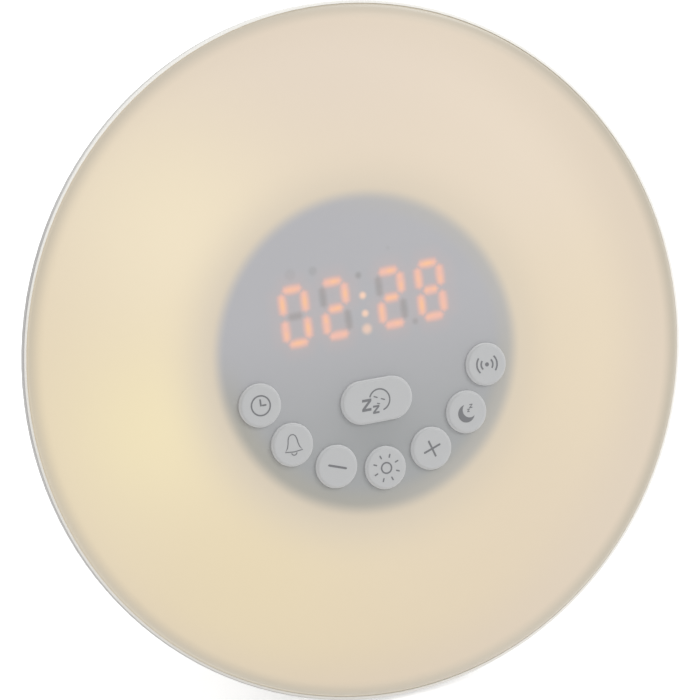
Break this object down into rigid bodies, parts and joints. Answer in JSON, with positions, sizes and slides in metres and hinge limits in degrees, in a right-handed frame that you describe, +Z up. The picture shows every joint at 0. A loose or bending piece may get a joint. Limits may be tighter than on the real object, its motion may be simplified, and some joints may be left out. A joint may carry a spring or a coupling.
{
  "type": "sunrise alarm clock",
  "caption": "Round bedside light alarm clock with a leaning glowing face, a digital display, push buttons in an arc and a footed rear housing.",
  "frame": {"origin": "centre of the footprint box, on the table under the rubber feet", "axes": "+X to the right as one faces the clock, +Y to the back, +Z up; the face looks towards -Y and leans back 15 degrees"},
  "size_m": [0.164, 0.0873, 0.1597],
  "materials": {
    "milky_cover": "satin, milky, lit from behind",
    "grey_dam": "matt grey moulding",
    "white_tray": "matt white reflector",
    "white_board": "white solder mask",
    "warm_led": "phosphor under clear resin",
    "colour_led": "clear resin",
    "display_body": "matt grey face",
    "bars_lit": "lit resin bars",
    "bars_unlit": "unlit resin bars",
    "tinned_metal": "tinned",
    "green_board": "green solder mask",
    "black_parts": "moulded black",
    "plated_screw": "zinc plated",
    "white_housing": "fine moulded satin",
    "foot_rubber": "matt",
    "speaker_steel": "black coated",
    "magnet": "ferrite",
    "speaker_cone": "paper cone",
    "cell_jacket": "shrink jacket",
    "ribbon_grey": "flat ribbon lead",
    "button_cap": "satin",
    "grommet_rubber": "matt"
  },
  "bodies": {
    "housing": {"front_diffuser": "milky_cover", "light_dam": "grey_dam", "reflector": "white_tray", "led_board": "white_board", "led_board_chips": "black_parts", "warm_leds": "warm_led", "colour_leds": "colour_led", "display_body": "display_body", "display_bars_lit": "bars_lit", "display_bars_unlit": "bars_unlit", "display_pins": "tinned_metal", "key_board": "green_board", "key_board_chips": "black_parts", "key_board_screws": "plated_screw", "switch_bodies": "black_parts", "ribbon_leads": "ribbon_grey", "rear_housing": "white_housing", "rubber_feet": "foot_rubber", "case_screws": "plated_screw", "speaker_frame": "speaker_steel", "speaker_magnet": "magnet", "speaker_cone": "speaker_cone", "speaker_screws": "plated_screw", "power_board": "green_board", "power_board_chips": "black_parts", "power_socket": "tinned_metal", "power_board_screws": "plated_screw", "backup_cells": "cell_jacket", "contact_springs": "tinned_metal", "contact_plates": "tinned_metal", "aerial_grommet": "grommet_rubber"},
    "time_key": {"time_button": "button_cap", "time_plunger": "black_parts"},
    "alarm_key": {"alarm_button": "button_cap", "alarm_plunger": "black_parts"},
    "minus_key": {"minus_button": "button_cap", "minus_plunger": "black_parts"},
    "light_key": {"light_button": "button_cap", "light_plunger": "black_parts"},
    "plus_key": {"plus_button": "button_cap", "plus_plunger": "black_parts"},
    "sleep_key": {"sleep_button": "button_cap", "sleep_plunger": "black_parts"},
    "radio_key": {"radio_button": "button_cap", "radio_plunger": "black_parts"},
    "snooze_key": {"snooze_button": "button_cap", "snooze_plunger": "black_parts"},
    "door": {"battery_door": "white_housing"}
  },
  "joints": [
    {"name": "time_press", "type": "slide", "parent": "housing", "child": "time_key", "axis": [0, 0.9659, -0.2588], "range_m": [0, 0.0005], "stiffness_N_per_m": 400, "springref_m": -0.0006},
    {"name": "alarm_press", "type": "slide", "parent": "housing", "child": "alarm_key", "axis": [0, 0.9659, -0.2588], "range_m": [0, 0.0005], "stiffness_N_per_m": 400, "springref_m": -0.0006},
    {"name": "minus_press", "type": "slide", "parent": "housing", "child": "minus_key", "axis": [0, 0.9659, -0.2588], "range_m": [0, 0.0005], "stiffness_N_per_m": 400, "springref_m": -0.0006},
    {"name": "light_press", "type": "slide", "parent": "housing", "child": "light_key", "axis": [0, 0.9659, -0.2588], "range_m": [0, 0.0005], "stiffness_N_per_m": 400, "springref_m": -0.0006},
    {"name": "plus_press", "type": "slide", "parent": "housing", "child": "plus_key", "axis": [0, 0.9659, -0.2588], "range_m": [0, 0.0005], "stiffness_N_per_m": 400, "springref_m": -0.0006},
    {"name": "sleep_press", "type": "slide", "parent": "housing", "child": "sleep_key", "axis": [0, 0.9659, -0.2588], "range_m": [0, 0.0005], "stiffness_N_per_m": 400, "springref_m": -0.0006},
    {"name": "radio_press", "type": "slide", "parent": "housing", "child": "radio_key", "axis": [0, 0.9659, -0.2588], "range_m": [0, 0.0005], "stiffness_N_per_m": 400, "springref_m": -0.0006},
    {"name": "snooze_press", "type": "slide", "parent": "housing", "child": "snooze_key", "axis": [0, 0.9659, -0.2588], "range_m": [0, 0.0005], "stiffness_N_per_m": 400, "springref_m": -0.0006},
    {"name": "battery_door_swing", "type": "hinge", "parent": "housing", "child": "door", "pos_m": [0, 0.01957, 0.02973], "axis": [-1, 0, 0], "range_deg": [0, 85]}
  ]
}
